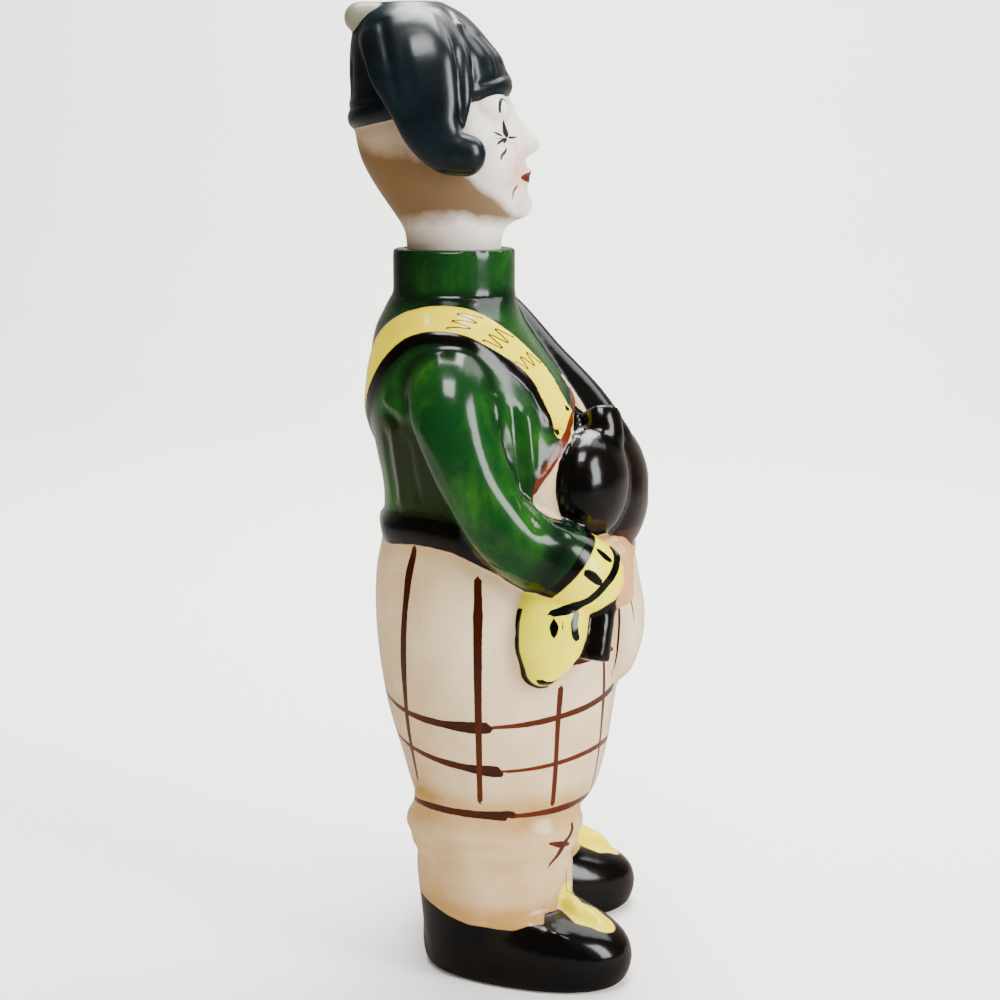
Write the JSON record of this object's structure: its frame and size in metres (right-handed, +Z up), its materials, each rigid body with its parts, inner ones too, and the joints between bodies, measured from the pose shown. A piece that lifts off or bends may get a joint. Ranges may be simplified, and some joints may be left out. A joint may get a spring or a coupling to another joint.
{
  "type": "figural decanter",
  "caption": "Hollow glazed ceramic bottle in the form of a stout standing piper in kilt and jacket, whose bonneted head lifts out of the collar as the stopper.",
  "frame": {"origin": "on the ground under the middle of the figure's bounding box", "axes": "+Z up; the figure faces -Y and its right side is at -X"},
  "size_m": [0.1152, 0.1034, 0.3302],
  "materials": {
    "painted_glaze": "gloss glaze over hand painting: cream kilt with brown lines, green jacket, yellow belt, black shoes",
    "face_and_bonnet_glaze": "gloss glaze over hand painting: cream face with pink cheeks, blue-black bonnet"
  },
  "bodies": {
    "root": {"bottle": "painted_glaze", "head_stopper": "face_and_bonnet_glaze"}
  },
  "joints": []
}
